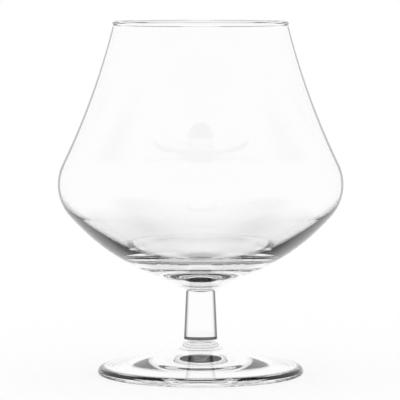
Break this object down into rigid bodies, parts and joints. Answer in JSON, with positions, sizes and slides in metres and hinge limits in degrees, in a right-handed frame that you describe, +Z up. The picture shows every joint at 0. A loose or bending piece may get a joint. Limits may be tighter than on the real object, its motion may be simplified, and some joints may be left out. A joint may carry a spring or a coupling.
{
  "type": "spirits glass",
  "caption": "Clear crystal brandy snifter: a wide angular bowl that narrows to a fine rim, fused to a short stem and a round foot, for serving and nosing spirits.",
  "frame": {"origin": "centre of the flat ring under the foot that the glass stands on", "axes": "+Z up along the axis of the stem, towards the rim; the glass is round, so X and Y are free"},
  "size_m": [0.1002, 0.1002, 0.124],
  "materials": {
    "crystal_bowl": "clear, fire polished",
    "crystal_stem": "clear, fire polished",
    "crystal_foot": "clear, fire polished"
  },
  "bodies": {
    "root": {"bowl": "crystal_bowl", "stem": "crystal_stem", "foot": "crystal_foot"}
  },
  "joints": []
}
